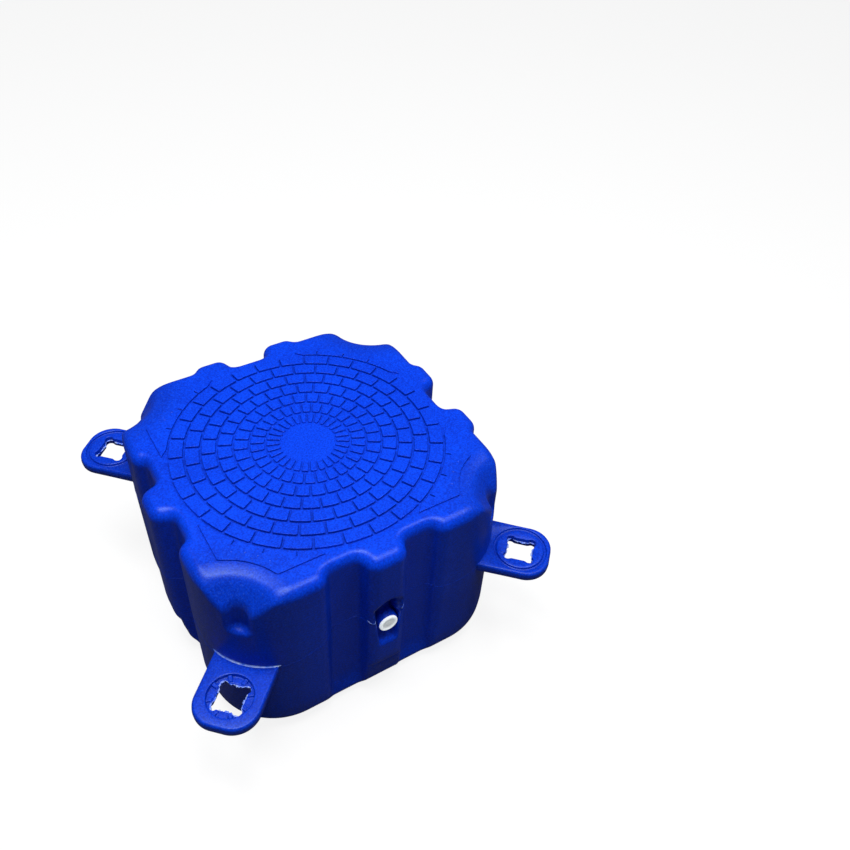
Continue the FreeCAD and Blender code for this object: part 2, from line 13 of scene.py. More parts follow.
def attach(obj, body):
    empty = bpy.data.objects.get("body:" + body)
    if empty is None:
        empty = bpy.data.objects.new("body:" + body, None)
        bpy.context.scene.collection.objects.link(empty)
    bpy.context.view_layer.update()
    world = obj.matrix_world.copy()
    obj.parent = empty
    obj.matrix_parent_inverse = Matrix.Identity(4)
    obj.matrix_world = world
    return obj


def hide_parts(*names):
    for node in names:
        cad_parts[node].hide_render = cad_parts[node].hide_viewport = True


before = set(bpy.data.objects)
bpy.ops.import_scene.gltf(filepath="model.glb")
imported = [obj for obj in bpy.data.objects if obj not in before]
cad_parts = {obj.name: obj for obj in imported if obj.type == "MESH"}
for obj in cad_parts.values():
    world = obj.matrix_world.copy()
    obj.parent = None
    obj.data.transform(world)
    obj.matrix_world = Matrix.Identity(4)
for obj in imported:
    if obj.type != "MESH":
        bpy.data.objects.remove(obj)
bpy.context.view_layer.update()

MM = 0.001

# The float's sizes, as in its solid model
GRID = 250.0          # centre to lug hole, along X and along Y
WALL = 247.5          # centre to the wall beside a corner
DECK = 353.0          # base to the smooth deck
DECK_DROP = 1.2       # how far the deck around the tread has sunk in the mould
LOBE = 13.0           # lobe crest in front of the wall
RECESS = 19.0         # recess floor behind the wall
SHOULDER = 89.0       # middle of each outer slope, from the side's centre
CREST = 32.5          # middle of each inner slope, from the side's centre
SLOPE = 6.0           # half of a slope's width
CREST_ROUND = 20.0
ROOT_ROUND = 16.0
PLAN_ROUND = 115.0
DECK_ROUND = 18.0
BASE_ROUND = 52.0
LOBE_FOOT = 84.0      # base to a lobe's underside
LOBE_ROUND = 20.0
LUG_LEVEL = 175.0
LUG_THICK = 16.0
LUG_HALF = 49.75
LUG_ROUND = 39.0
LUG_RANKS = {(-1, -1): 0, (1, -1): 1, (1, 1): 2, (-1, 1): 3}    # how many thicknesses each lug is raised
LUG_NAMES = ("front_left", "front_right", "back_right", "back_left")
HOLE_HALF = 21.5      # half of the square in the lug's hole
EAR_PLACE = 17.0      # lug hole's axis to the middle of an ear, both ways
EAR_RADIUS = 7.0
RIB_START = 24.4      # radii between which the ribs in the lowest lug's seat run
RIB_END = 33.4
RIB_RISE = 3.0

# The corner scoops: two cones about the lug hole's axis, each with its radius at a level, how far it widens in
# a rise and the cosine of its slope, and the round notch at their foot
SCOOP = {"radius": 30, "level": 281, "run": 60.5, "rise": 72, "cosine": 0.766}
SCOOP_RIM = {"radius": 71, "level": 340, "run": 56, "rise": 26, "cosine": 0.421}
NOTCH_PLACE = 217.0   # centre to the notch's axis, along X and along Y
NOTCH_RADIUS = 17.5
NOTCH_FLOOR = 270.0

# The niche around the plug
PLUG_LEVEL = 193.0
NICHE_ARCH = 38.0     # plug's axis to the centre of the niche's arch
NICHE_HALF = 23.0     # half of its width at the arch
NICHE_TAPER = 10.0    # how much of that is gone at its foot
NICHE_FOOT = 134.0    # base to the niche's foot
NICHE_DEPTH = 12.0    # grid line back to the niche's floor
RAMP_TOP = 30.0       # plug's axis down to the ramp's upper end
RAMP_RUN = 26.0
RAMP_FALL = 19.0

# The tread
TREAD_START = 43.5    # inner radius of the innermost ring of bricks
RING_PITCH = 24.5
BRICK_LENGTH = 20.5   # along a radius
BRICK_ROUND = 1.2
GROOVE_HALF = 2.0     # half of the groove between two bricks of a ring
RING_COUNT = 7
BRICK_COUNT = 30
PAD_ROOT = 2.0        # how far pads reach down into the deck
PANEL_START = 215.0   # inner radius of a corner panel
PANEL_EDGE = 208.0    # centre to a panel's straight edges
PANEL_END = 76.0      # side's centre to a panel's nearer end
PANEL_SCOOP = 111.0   # lug hole to a panel's round edge
STUB_END = 224.0      # outer radius of the short grooves in a panel
STUB_HALF = 1.25      # half of their width at the next radius
STUB_MIDDLE = 219.0
PIP_RADIUS = 2.6
PIP_FOOT = 0.55       # deck to the foot of a dome
PIP_RISE = 1.42

# The parting line and the flash on the front, as places (x, z)
MOULD_SEAM = 207.0    # mean height of the parting line
SEAM_END = 150.0      # a side's centre to where its parting line runs level
FRONT_SEAM = ((-200, 183), (-141, 190), (-93, 205), (-40, 207), (30, 209), (80, 206), (113, 201), (150, 199))
FLASH_LEFT = ((-31.5, 212), (-29.4, 208.5), (-26.8, 206.8), (-23.4, 207.8), (-21.2, 212))
FLASH_RIGHT = ((22.3, 214), (24.5, 217), (28, 218.5))


# Making meshes

def mesh_piece(name, points, faces, material, smooth=True):
    """A piece from points in millimetres, in one material; smooth is one answer or one for each face."""
    mesh = bpy.data.meshes.new(name)
    mesh.from_pydata((np.asarray(points, float) * MM).tolist(), [], faces)
    mesh.materials.append(material)
    mesh.polygons.foreach_set("use_smooth", np.zeros(len(mesh.polygons), bool) + np.asarray(smooth))
    mesh.update()
    piece = bpy.data.objects.new(name, mesh)
    bpy.context.scene.collection.objects.link(piece)
    return piece


def grid_faces(rows, columns, start=0, flip=False, looped=False):
    """Quads of a grid of rows by columns, each row a closed ring; looped joins the last row to the first."""
    i, j = np.meshgrid(np.arange(rows if looped else rows - 1), np.arange(columns), indexing="ij")
    k = (j + 1) % columns
    n = (i + 1) % rows
    quads = np.stack([i * columns + j, i * columns + k, n * columns + k, n * columns + j], -1)
    quads = quads[..., ::-1] if flip else quads
    return (quads.reshape(-1, 4) + start).tolist()


def tube_faces(rows, columns):
    """Quads of a tube of rows by columns and a face over each end."""
    faces = grid_faces(rows, columns)
    faces.append(list(range(columns)))
    faces.append(list(range((rows - 1) * columns, rows * columns))[::-1])
    return faces


def shell_piece(name, rows, centre, material, flip=False):
    """Rings of points, from the first in to the last, and a fan of triangles from the last to one centre."""
    last = (len(rows) - 1) * rows.shape[1]
    points = np.concatenate([rows.reshape(-1, 3), [centre]])
    faces = grid_faces(len(rows), rows.shape[1], flip=flip)
    k = np.arange(rows.shape[1])
    fan = np.stack([last + k, last + (k + 1) % len(k), np.full(len(k), len(points) - 1)], -1)
    faces += (fan[:, ::-1] if flip else fan).tolist()
    return mesh_piece(name, points, faces, material)


# Forms as distances: negative inside the plastic, positive outside

def rounded_and(a, b, radius):
    """What two forms share, with a round of the given radius along its outer edge."""
    outside = np.hypot(np.maximum(a + radius, 0), np.maximum(b + radius, 0))
    return np.minimum(-radius, np.maximum(a, b)) + outside


def rounded_or(a, b, radius):
    """Two forms joined, with a fillet of the given radius."""
    return -rounded_and(-a, -b, radius)


def step(x, low, high):
    """0 below low, 1 above high, and smooth between them."""
    t = np.clip((x - low) / (high - low), 0, 1)
    return t * t * (3 - 2 * t)


def rounded_chain(corners, radii):
    """A polyline with rounded corners, as a list of lines and arcs.

    At each corner the two directions a and b turn by an angle; the arc touches them at radius * tan(angle / 2)
    from the corner, and its centre is on the side that the line turns to.
    """
    pieces = []
    here = np.array(corners[0], float)
    for before, corner, after, radius in zip(corners, corners[1:], corners[2:], radii):
        before, corner, after = (np.array(p, float) for p in (before, corner, after))
        a = (corner - before) / np.linalg.norm(corner - before)
        b = (after - corner) / np.linalg.norm(after - corner)
        turn = a[0] * b[1] - a[1] * b[0]
        angle = math.acos(np.clip(a @ b, -1, 1))
        reach = radius * math.tan(angle / 2)
        side = 1 if turn > 0 else -1
        touch = corner - a * reach
        centre = touch + side * radius * np.array([-a[1], a[0]])
        pieces.append(("line", here, touch))
        pieces.append(("arc", centre, radius, side, touch, angle))
        here = corner + b * reach
    pieces.append(("line", here, np.array(corners[-1], float)))
    return pieces


def side_chain(two_lobes):
    """Half of one side's outline, from its middle to past the corner, as (along, outwards)."""
    crest, floor = WALL + LOBE, WALL - RECESS
    inner, outer = (floor, crest) if two_lobes else (crest, floor)
    corners = [(0, inner), (CREST - SLOPE, inner), (CREST + SLOPE, outer), (SHOULDER - SLOPE, outer),
               (SHOULDER + SLOPE, WALL), (WALL, WALL), (WALL, 0)]
    if two_lobes:
        radii = (ROOT_ROUND, CREST_ROUND, CREST_ROUND, ROOT_ROUND, PLAN_ROUND)
    else:
        radii = (CREST_ROUND, ROOT_ROUND, ROOT_ROUND, CREST_ROUND, PLAN_ROUND)
    return rounded_chain(corners, radii)


CHAINS = {False: side_chain(False), True: side_chain(True)}


def chain_distance(along, outwards, chain):
    """Signed distance to a chain: the nearest of its lines and arcs decides."""
    best = np.full(along.shape, 1e9)
    for item in chain:
        if item[0] == "line":
            start, end = item[1], item[2]
            run = end - start
            t = np.clip(((along - start[0]) * run[0] + (outwards - start[1]) * run[1]) / (run @ run), 0, 1)
            ex = along - start[0] - t * run[0]
            ey = outwards - start[1] - t * run[1]
            distance = np.hypot(ex, ey) * np.where(run[0] * ey - run[1] * ex > 0, 1, -1)
        else:
            centre, radius, side, touch, angle = item[1:]
            ex, ey = along - centre[0], outwards - centre[1]
            reach = np.hypot(ex, ey)
            tx, ty = (touch - centre) / radius
            swept = np.arctan2(side * (tx * ey - ty * ex), tx * ex + ty * ey)
            distance = (reach - radius) * (-side)
            distance = np.where((swept >= 0) & (swept <= angle), distance, 1e9)
        best = np.where(np.abs(distance) < np.abs(best), distance, best)
    return best


def outline_distance(x, y):
    """Signed distance in plan to the wavy outline, one side at a time."""
    along = np.minimum(np.abs(x), np.abs(y))
    outwards = np.maximum(np.abs(x), np.abs(y))
    two_lobes = np.where(np.abs(x) > np.abs(y), x > 0, y > 0)
    one = chain_distance(along, outwards, CHAINS[False])
    two = chain_distance(along, outwards, CHAINS[True])
    return np.where(two_lobes, two, one)


def square_distance(x, y, half, radius):
    """Signed distance in plan to a square with rounded corners."""
    qx, qy = np.abs(x) - half + radius, np.abs(y) - half + radius
    return np.hypot(np.maximum(qx, 0), np.maximum(qy, 0)) + np.minimum(np.maximum(qx, qy), 0) - radius


def draft(z):
    """How far the walls stand out of their plain place: the mould narrows away from the parting line."""
    return 0.6 - np.where(z > MOULD_SEAM, (z - MOULD_SEAM) * 0.002, (MOULD_SEAM - z) * 0.007)


def base_distance(x, y, z):
    """The base: a block with a round edge, and a larger one for the lobes, which ends above the base.

    Each block is 0.5 mm larger than the walls where its edge shapes them, and 4.5 mm larger above that, so that
    only its edge is cut.
    """
    skin = 0.5 + 4 * step(z, 45, 75)
    plain = rounded_and(square_distance(x, y, WALL + skin, PLAN_ROUND) - draft(z), -z, BASE_ROUND)
    skin = 0.5 + 4 * step(z, 98, 128)
    block = square_distance(x, y, WALL + LOBE + skin, PLAN_ROUND + LOBE)
    large = rounded_and(block, LOBE_FOOT - z, LOBE_ROUND)
    return rounded_or(plain, large, 5.0)


def cone_distance(reach, z, radius, level, run, rise, cosine):
    """Signed distance to a cone's side: the level distance to it times the cosine of its slope."""
    return (reach - radius - (z - level) * run / rise) * cosine


def scoop_distance(x, y, z):
    """The corner scoops: a cone about the lug hole's axis, with a flatter rim cone, and the notch."""
    reach = np.hypot(np.abs(x) - GRID, np.abs(y) - GRID)
    shaft = np.hypot(np.abs(x) - NOTCH_PLACE, np.abs(y) - NOTCH_PLACE) - NOTCH_RADIUS
    notch = rounded_and(shaft, NOTCH_FLOOR - z, 9.0)
    return cone_distance(reach, z, **SCOOP), cone_distance(reach, z, **SCOOP_RIM), notch


def niche_distance(x, y, z):
    """The arched niche around the neck, which narrows below its arch, with a floor and a ramp that runs out.

    Half of its width is 23 mm at the arch's centre and 13 mm at 134 mm above the base, in a straight line. The
    ramp runs from 163 mm up at the floor to 144 mm up at 14 mm in front of the grid line.
    """
    centre = PLUG_LEVEL + NICHE_ARCH
    half = NICHE_HALF - np.maximum(centre - z, 0) * NICHE_TAPER / (centre - NICHE_FOOT)
    arch = np.hypot(x, np.maximum(z - centre, 0)) - half
    floor = y + GRID - NICHE_DEPTH
    ramp = (RAMP_FALL * floor - RAMP_RUN * (z - PLUG_LEVEL + RAMP_TOP)) / math.hypot(RAMP_FALL, RAMP_RUN)
    return rounded_and(rounded_and(arch, floor, 2.0), ramp, 3.0)


def float_distance(p):
    """The whole float without lugs: walls under a rounded deck edge, less scoops, notches and niche.

    The recesses run out towards the base: there a plain square block, 9 mm in front of their floor, fills them
    up, and it draws back by those 9 mm from 5 to 70 mm above the base. The deck lies half a millimetre lower
    under the rings of bricks than around them.
    """
    x, y, z = p[..., 0], p[..., 1], p[..., 2]
    reach = np.hypot(x, y)
    fill = 9
    walls = outline_distance(x, y) - draft(z)
    filled = square_distance(x, y, WALL - RECESS + fill, PLAN_ROUND) + fill * step(z, 5, 70)
    walls = rounded_or(walls, filled, 6.0)
    sunk = DECK_DROP + 0.5 * (1 - step(reach, 214, 220)) * step(reach, 40, 43)
    form = rounded_and(walls, z - DECK + sunk, DECK_ROUND)
    form = rounded_and(form, base_distance(x, y, z), 4.0)
    scoop, rim, notch = scoop_distance(x, y, z)
    form = rounded_and(form, -rim, 7.0)
    form = rounded_and(form, -scoop, 5.0)
    form = rounded_and(form, -notch, 7.0)
    return rounded_and(form, -niche_distance(x, y, z), 4.0)


def settle(points, inwards, rounds=36):
    """Move each point along its own direction until it lies on the float's surface."""
    points = points.copy()
    for _ in range(rounds):
        points += float_distance(points)[..., None] * inwards
    return points


# The outline as a path: points and outward normals

def half_side(chain, coarse, fine, corner):
    """Points and normals along half a side, from its middle to the middle of the corner.

    The points are fine millimetres apart up to the first bend, coarse millimetres from there, and the half
    corner has a number of its own.
    """
    spots, normals = [], []
    for number, item in enumerate(chain[:-1]):
        wave = fine if number < 2 else coarse
        if item[0] == "line":
            start, end = item[1], item[2]
            run = end - start
            length = np.linalg.norm(run)
            count = max(2, int(round(length / wave)))
            t = (np.arange(count) / count)[:, None]
            spots.append(start + t * run)
            normals.append(np.tile([-run[1] / length, run[0] / length], (count, 1)))
        else:
            centre, radius, side, touch, angle = item[1:]
            if radius == PLAN_ROUND:
                count, angle = corner, angle / 2
            else:
                count = max(4, int(round(radius * angle / wave)))
            turn = side * angle * np.arange(count) / count
            ex, ey = touch - centre
            arc = np.stack([ex * np.cos(turn) - ey * np.sin(turn), ex * np.sin(turn) + ey * np.cos(turn)], -1)
            spots.append(centre + arc)
            normals.append(arc / radius * (-side))
    middle = (WALL - PLAN_ROUND) + PLAN_ROUND * math.sqrt(0.5)
    spots.append([[middle, middle]])
    normals.append([[math.sqrt(0.5)] * 2])
    return np.concatenate(spots), np.concatenate(normals)


def outline_path(wave, niche_wave, corner):
    """The whole outline anticlockwise from above, side by side from the front, finer across the niche."""
    spots, normals = [], []
    mirror = np.array([-1, 1])
    for side in range(4):
        two_lobes = side in (1, 2)
        fine = wave if side else niche_wave
        half_spots, half_normals = half_side(CHAINS[two_lobes], wave, fine, corner)
        whole = np.concatenate([(half_spots * mirror)[::-1][1:-1], half_spots])
        turned = np.concatenate([(half_normals * mirror)[::-1][1:-1], half_normals])
        for data, store in ((whole, spots), (turned, normals)):
            along, out = data[:, 0], data[:, 1]
            frames = ((along, -out), (out, along), (-along, out), (-out, -along))
            store.append(np.stack(frames[side], -1))
    return np.concatenate(spots), np.concatenate(normals)


def seam_level(spots):
    """The parting line's height: level past each lug, sloping along each side, and bowed up along the front."""
    x, y = spots[:, 0], spots[:, 1]
    levels = {corner: LUG_LEVEL + LUG_THICK * (rank + 0.5) for corner, rank in LUG_RANKS.items()}
    height = np.zeros(len(spots))
    sides = (
        ((1, -1), (1, 1), y, (x > 0) & (np.abs(x) > np.abs(y))),
        ((-1, 1), (1, 1), x, (y > 0) & (np.abs(y) >= np.abs(x))),
        ((-1, -1), (-1, 1), y, (x < 0) & (np.abs(x) > np.abs(y))),
    )
    for low, high, along, here in sides:
        share = np.clip(along / (2 * SEAM_END) + 0.5, 0, 1)
        height = np.where(here, levels[low] + (levels[high] - levels[low]) * share, height)
    front = (y < 0) & (np.abs(y) >= np.abs(x))
    return np.where(front, np.interp(x, *zip(*FRONT_SEAM)), height)


# The shell: an upper and a lower half that meet at the parting line

def upper_shell(spots, normals, seam, blue):
    """The upper half of the skin, as rows along the outline: up the wall, round the deck's edge and in.

    Every grid point is settled on the float's form along a direction that faces it: the wall's normal,
    straight down on the deck, and across the scoop's slope near a corner. The deck's rows draw in from its edge
    to a ring of 140 mm, closely at first, and a fan closes the middle.
    """
    flat = np.zeros(len(spots))
    top_wall = DECK - DECK_ROUND
    rows, ways = [], []
    for share in np.linspace(0, 1, 60):
        rows.append(np.column_stack([spots, seam + (top_wall - seam) * share]))
        ways.append(np.column_stack([-normals, flat]))
    for turn in np.linspace(0, math.pi / 2, 13)[1:]:
        inset = DECK_ROUND * (1 - math.cos(turn))
        rows.append(np.column_stack([spots - normals * inset, flat + top_wall + DECK_ROUND * math.sin(turn)]))
        ways.append(np.column_stack([-normals * math.cos(turn), flat - math.sin(turn)]))
    edge = spots - normals * DECK_ROUND
    ring = 140 * edge / np.linalg.norm(edge, axis=1, keepdims=True)
    for share in np.concatenate([np.linspace(0, 0.42, 21)[1:], [0.55, 0.75, 1.0]]):
        rows.append(np.column_stack([edge + (ring - edge) * share, flat + DECK]))
        ways.append(np.column_stack([flat, flat, flat - 1]))
    rows, ways = np.array(rows), np.array(ways)
    reach = np.hypot(np.abs(rows[..., 0]) - GRID, np.abs(rows[..., 1]) - GRID)
    weight = ((1 - step(reach, 96, 130)) * step(rows[..., 2], 252, 276))[..., None]
    inwards, downwards = 0.542, 0.643
    across = np.stack([-np.sign(rows[..., 0]) * inwards, -np.sign(rows[..., 1]) * inwards,
                       np.full(rows.shape[:2], -downwards)], -1)
    ways = ways * (1 - weight) + across * weight
    ways /= np.linalg.norm(ways, axis=-1, keepdims=True)
    upper = settle(rows, ways)
    return shell_piece("float_upper", upper, [0, 0, DECK], blue), upper[0]


def lower_shell(spots, normals, seam, seam_line, blue):
    """The lower half of the skin: down the wall, round the base's edge and in to a ring of 100 mm and a fan.

    Its rows start from a plain envelope around the lobes, so that the points of recesses and lobes stay in step
    below the lobes' feet.
    """
    flat = np.zeros(len(spots))
    across = np.abs(spots)
    side_x = across[:, 0] > across[:, 1]
    in_corner = across.min(1) > WALL - PLAN_ROUND
    straight = np.where(side_x[:, None], np.sign(spots) * [1, 0], np.sign(spots) * [0, 1])
    face_out = np.where(in_corner[:, None], normals, straight)
    envelope = WALL + LOBE + 1
    lift = np.where(in_corner, envelope - WALL, envelope - across.max(1))
    around = spots + face_out * lift[:, None]
    edge_round = BASE_ROUND + 14
    rows, ways = [], []
    for share in np.linspace(0, 1, 48)[1:-1]:
        rows.append(np.column_stack([spots, seam + (edge_round - seam) * share]))
        ways.append(np.column_stack([-face_out, flat]))
    for turn in np.linspace(0, math.pi / 2, 34):
        inset = edge_round * (1 - math.cos(turn))
        rows.append(np.column_stack([around - face_out * inset, flat + edge_round * (1 - math.sin(turn))]))
        ways.append(np.column_stack([-face_out * math.cos(turn), flat + math.sin(turn)]))
    foot = around - face_out * edge_round
    ring = 100 * foot / np.linalg.norm(foot, axis=1, keepdims=True)
    for share in (0.1, 0.25, 0.5, 1.0):
        rows.append(np.column_stack([foot + (ring - foot) * share, flat]))
        ways.append(np.column_stack([flat, flat, flat + 1]))
    lower = np.concatenate([[seam_line], settle(np.array(rows), np.array(ways))])
    return shell_piece("float_lower", lower, [0, 0, 0], blue, flip=True)


def seam_bead(line, normals, blue):
    """The parting line: a half-round bead along the seam, 0.9 mm wide and 0.4 mm high, 0.1 mm of it sunk."""
    high, wide, sunk = 0.4, 0.9, 0.1
    rows = []
    flat = np.zeros(len(line))
    for turn in np.linspace(0, math.pi, 7):
        out = high * math.sin(turn) - sunk
        rows.append(line + np.column_stack([normals * out, flat + wide / 2 * math.cos(turn)]))
    faces = grid_faces(len(rows), len(line), flip=True)
    return mesh_piece("parting_line", np.concatenate(rows), faces, blue)


# The lugs

def ray_radius(inside, angles, start, limit):
    """How far a ray from the centre runs at each angle until the distance that is left in it is zero."""
    reach = np.full(angles.shape, float(start))
    for _ in range(60):
        gap = inside(reach * np.cos(angles), reach * np.sin(angles))
        reach = np.clip(reach + gap, 0, limit)
    return reach


def hole_gap(x, y):
    """Distance inside the lug's hole to its edge: a square with a round ear at each corner."""
    square = np.maximum(np.abs(x), np.abs(y)) - HOLE_HALF
    ears = np.hypot(np.abs(x) - EAR_PLACE, np.abs(y) - EAR_PLACE) - EAR_RADIUS
    return -rounded_or(square, ears, 1.5)


def lug_gap(x, y):
    """Distance inside the lug's outline to its edge: straight sides, rounded ends, 70 mm into the float."""
    qx = x - LUG_HALF + LUG_ROUND
    qy = np.abs(y) - LUG_HALF + LUG_ROUND
    end = np.hypot(np.maximum(qx, 0), np.maximum(qy, 0)) + np.minimum(np.maximum(qx, qy), 0) - LUG_ROUND
    return -np.maximum(end, -70 - x)


# A lug's hole and edge by angle. The edge is 0.4 mm in, so that the seam around it stays within the lug's size.
LUG_ANGLES = np.arange(336) * (2 * math.pi / 336)
LUG_HOLE = ray_radius(hole_gap, LUG_ANGLES, 15, 40)
LUG_EDGE = ray_radius(lug_gap, LUG_ANGLES, 30, 120) - 0.4


def lug_rows(seat):
    """The lug's section as rows of (kind, offset, height), from the hole over the top and back underneath.

    The offset is outwards from the hole or from the lug's edge for rows of those kinds. A row of kind seat or
    ring is a circle with the offset as its radius, kept clear of the hole and, for ring, of the edge. The
    lowest lug has a seat, a round recess with ribs, and the others have a ring groove.
    """
    thick = LUG_THICK
    rows = [("hole", 1.2, 0.0), ("hole", 0.4, 0.3), ("hole", 0.0, 1.2), ("hole", 0.0, thick / 2 - 1.2),
            ("hole", -0.5, thick / 2 - 0.3), ("hole", -0.5, thick / 2 + 0.3), ("hole", 0.0, thick / 2 + 1.2)]
    if seat:
        floor = thick - 6
        rows += [("hole", 0.0, floor - 0.8), ("hole", 0.3, floor - 0.2), ("hole", 1.0, floor),
                 ("seat", 24.2, floor), ("seat", 24.6, floor), ("seat", 25.2, floor), ("seat", 27, floor),
                 ("seat", 29, floor), ("seat", 31, floor), ("seat", 32.6, floor),
                 ("ring", RIB_END, floor + 0.2), ("ring", 33.75, floor + 0.8), ("ring", 33.75, thick - 1.2),
                 ("ring", 34.0, thick - 0.4), ("ring", 34.7, thick), ("ring", 36.0, thick)]
    else:
        rows += [("hole", 0.0, thick - 1.4), ("hole", 0.4, thick - 0.4), ("hole", 1.3, thick),
                 ("ring", 34.0, thick), ("ring", 37.8, thick), ("ring", 38.1, thick - 0.3),
                 ("ring", 38.2, thick - 2.8), ("ring", 38.7, thick - 3.4), ("ring", 43.0, thick - 3.4),
                 ("ring", 43.6, thick - 2.8), ("ring", 43.8, thick - 0.4), ("ring", 44.2, thick)]
    rows += [("edge", -4.4, thick), ("edge", -3.2, thick - 0.2), ("edge", -1.9, thick - 0.9),
             ("edge", -0.8, thick - 2.1), ("edge", -0.2, thick - 3.5), ("edge", 0.0, thick - 5),
             ("edge", 0.0, thick / 2 + 0.8), ("edge", 0.35, thick / 2), ("edge", 0.0, thick / 2 - 0.8),
             ("edge", 0.0, 3.0), ("edge", -0.3, 1.4), ("edge", -1.0, 0.5), ("edge", -2.2, 0.0),
             ("ring", 38, 0.0), ("hole", 3, 0.0)]
    return rows


def lug_ring(corner, reach, height):
    """A ring about a lug hole's axis: its radius and its height above the lug's underside at each angle."""
    turn = LUG_ANGLES + math.atan2(corner[1], corner[0])
    level = LUG_LEVEL + LUG_THICK * LUG_RANKS[corner] + height
    x = corner[0] * GRID + reach * np.cos(turn)
    y = corner[1] * GRID + reach * np.sin(turn)
    return np.column_stack([x, y, np.broadcast_to(level, turn.shape)])


def lug_piece(corner, blue):
    """One lug: its section carried around the hole, so that it closes on itself.

    In the seat the floor rises to eight ribs, 5.2 mm wide on top, midway between the lug's axes and diagonals.
    """
    rank = LUG_RANKS[corner]
    stops = np.radians(22.5 + 45 * np.arange(8))
    nearest = np.abs((LUG_ANGLES[:, None] - stops + math.pi) % (2 * math.pi) - math.pi).min(1)
    rows = []
    for kind, offset, height in lug_rows(rank == 0):
        ribbed = False
        if kind == "hole":
            reach = LUG_HOLE + offset
        elif kind == "seat":
            reach = np.maximum(LUG_HOLE + 1.2, offset)
            ribbed = offset > RIB_START
        elif kind == "ring":
            reach = np.minimum(np.maximum(LUG_HOLE + 1.4, offset), LUG_EDGE - 4.6)
            ribbed = offset == RIB_END
        else:
            reach = LUG_EDGE + offset
        if ribbed:
            height = height + RIB_RISE * (1 - step(reach * np.sin(nearest), 2.6, 3.4))
        rows.append(lug_ring(corner, reach, height))
    faces = grid_faces(len(rows), len(LUG_ANGLES), flip=True, looped=True)
    return mesh_piece("lug_" + LUG_NAMES[rank], np.concatenate(rows), faces, blue)


def hole_flash(corner, thin):
    """The thin fin of flash around a lug's hole, halfway down.

    It reaches 1.9 mm into the hole, plus three sines of the angle of 0.8, 0.7 and 0.6 mm, and 0.4 mm at least.
    """
    rank = LUG_RANKS[corner]
    reach = 1.9 + 0.8 * np.sin(5 * LUG_ANGLES + rank) + 0.7 * np.sin(13 * LUG_ANGLES + 2 * rank)
    reach = np.maximum(reach + 0.6 * np.sin(31 * LUG_ANGLES), 0.4)
    root, tip = LUG_HOLE + 0.4, LUG_HOLE - reach
    rows = [lug_ring(corner, radius, LUG_THICK / 2 + height)
            for radius, height in ((root, 1.0), (tip, 0.5), (tip, -0.3), (root, -0.8))]
    faces = grid_faces(len(rows), len(LUG_ANGLES), looped=True)
    return mesh_piece(f"hole_flash_{rank + 1}", np.concatenate(rows), faces, thin)


def lug_cove(corner, plastic):
    """The rolled line where a lug's top meets the corner's wall.

    A quarter of a circle with its centre out from the wall and above the lug. The wall is found by walking
    inwards at each place across the lug's width, and the radius falls from 2 mm to nearly nothing at both ends.
    """
    rank = LUG_RANKS[corner]
    top = LUG_LEVEL + LUG_THICK * (rank + 1)
    share = np.linspace(-1, 1, 81)
    across = share * (LUG_HALF + 2.5)
    turn = math.atan2(corner[1], corner[0])
    out = np.array([math.cos(turn), math.sin(turn), 0])
    side = np.array([-math.sin(turn), math.cos(turn), 0])
    start = np.array([corner[0] * GRID, corner[1] * GRID, top + 1.0])
    path = settle(start - out * 20 + across[:, None] * side, np.tile(-out, (len(across), 1)), 60)
    radius = 1.9 * np.sqrt(np.maximum(1 - share ** 8, 0)) + 0.15
    rows = []
    for angle in np.linspace(0, math.pi / 2, 7):
        away = radius * (1 - math.cos(angle))
        up = radius * (1 - math.sin(angle))
        rows.append(path + out * away[:, None] + np.outer(up - 1.0, [0, 0, 1]))
    back, below = out * 1.2, [0, 0, 1.8]
    rows.append(path + out * radius[:, None] - below)
    rows.append(path - back - below)
    rows.append(path - back + np.outer(radius - 1.0, [0, 0, 1]))
    faces = tube_faces(len(path), len(rows))
    return mesh_piece(f"lug_cove_{rank + 1}", np.stack(rows, 1).reshape(-1, 3), faces, plastic)


def flash_thread(name, places, thin):
    """A thread of flash on the front lobe: a tube of 0.7 mm radius through places given as (x, z).

    Each point of its line is found by walking back from in front of the float to its surface.
    """
    places = np.array(places, float)
    sides = 8
    steps = np.linspace(0, len(places) - 1, 6 * len(places))
    x, z = (np.interp(steps, np.arange(len(places)), places[:, k]) for k in (0, 1))
    start = np.column_stack([x, np.full(len(x), -GRID - 25), z])
    depth = settle(start, np.tile([0.0, 1.0, 0.0], (len(x), 1)))[:, 1]
    ahead = np.stack([np.gradient(x), np.gradient(z)], -1)
    ahead /= np.linalg.norm(ahead, axis=1, keepdims=True)
    radius = 0.7 * np.sqrt(np.maximum(1 - np.linspace(-1, 1, len(x)) ** 4, 0)) + 0.1
    around = np.arange(sides) * (2 * math.pi / sides)
    wide = radius[:, None] * np.cos(around)
    points = np.stack([x[:, None] - ahead[:, 1:] * wide, depth[:, None] - radius[:, None] * np.sin(around),
                       z[:, None] + ahead[:, :1] * wide], -1).reshape(-1, 3)
    return mesh_piece(name, points, tube_faces(len(x), sides), thin)


# The tread: pads raised from the deck, each with a rounded rim

def inset_loop(loop, amount):
    """A closed anticlockwise loop moved inwards, each point along the mean of its two edges' normals."""
    ahead = np.roll(loop, -1, 0) - loop
    behind = loop - np.roll(loop, 1, 0)
    ahead /= np.linalg.norm(ahead, axis=1, keepdims=True)
    behind /= np.linalg.norm(behind, axis=1, keepdims=True)
    normal = np.column_stack([-(ahead + behind)[:, 1], (ahead + behind)[:, 0]])
    length = np.maximum((normal * normal).sum(1, keepdims=True) / 2, 0.4)
    return loop + normal / length * amount


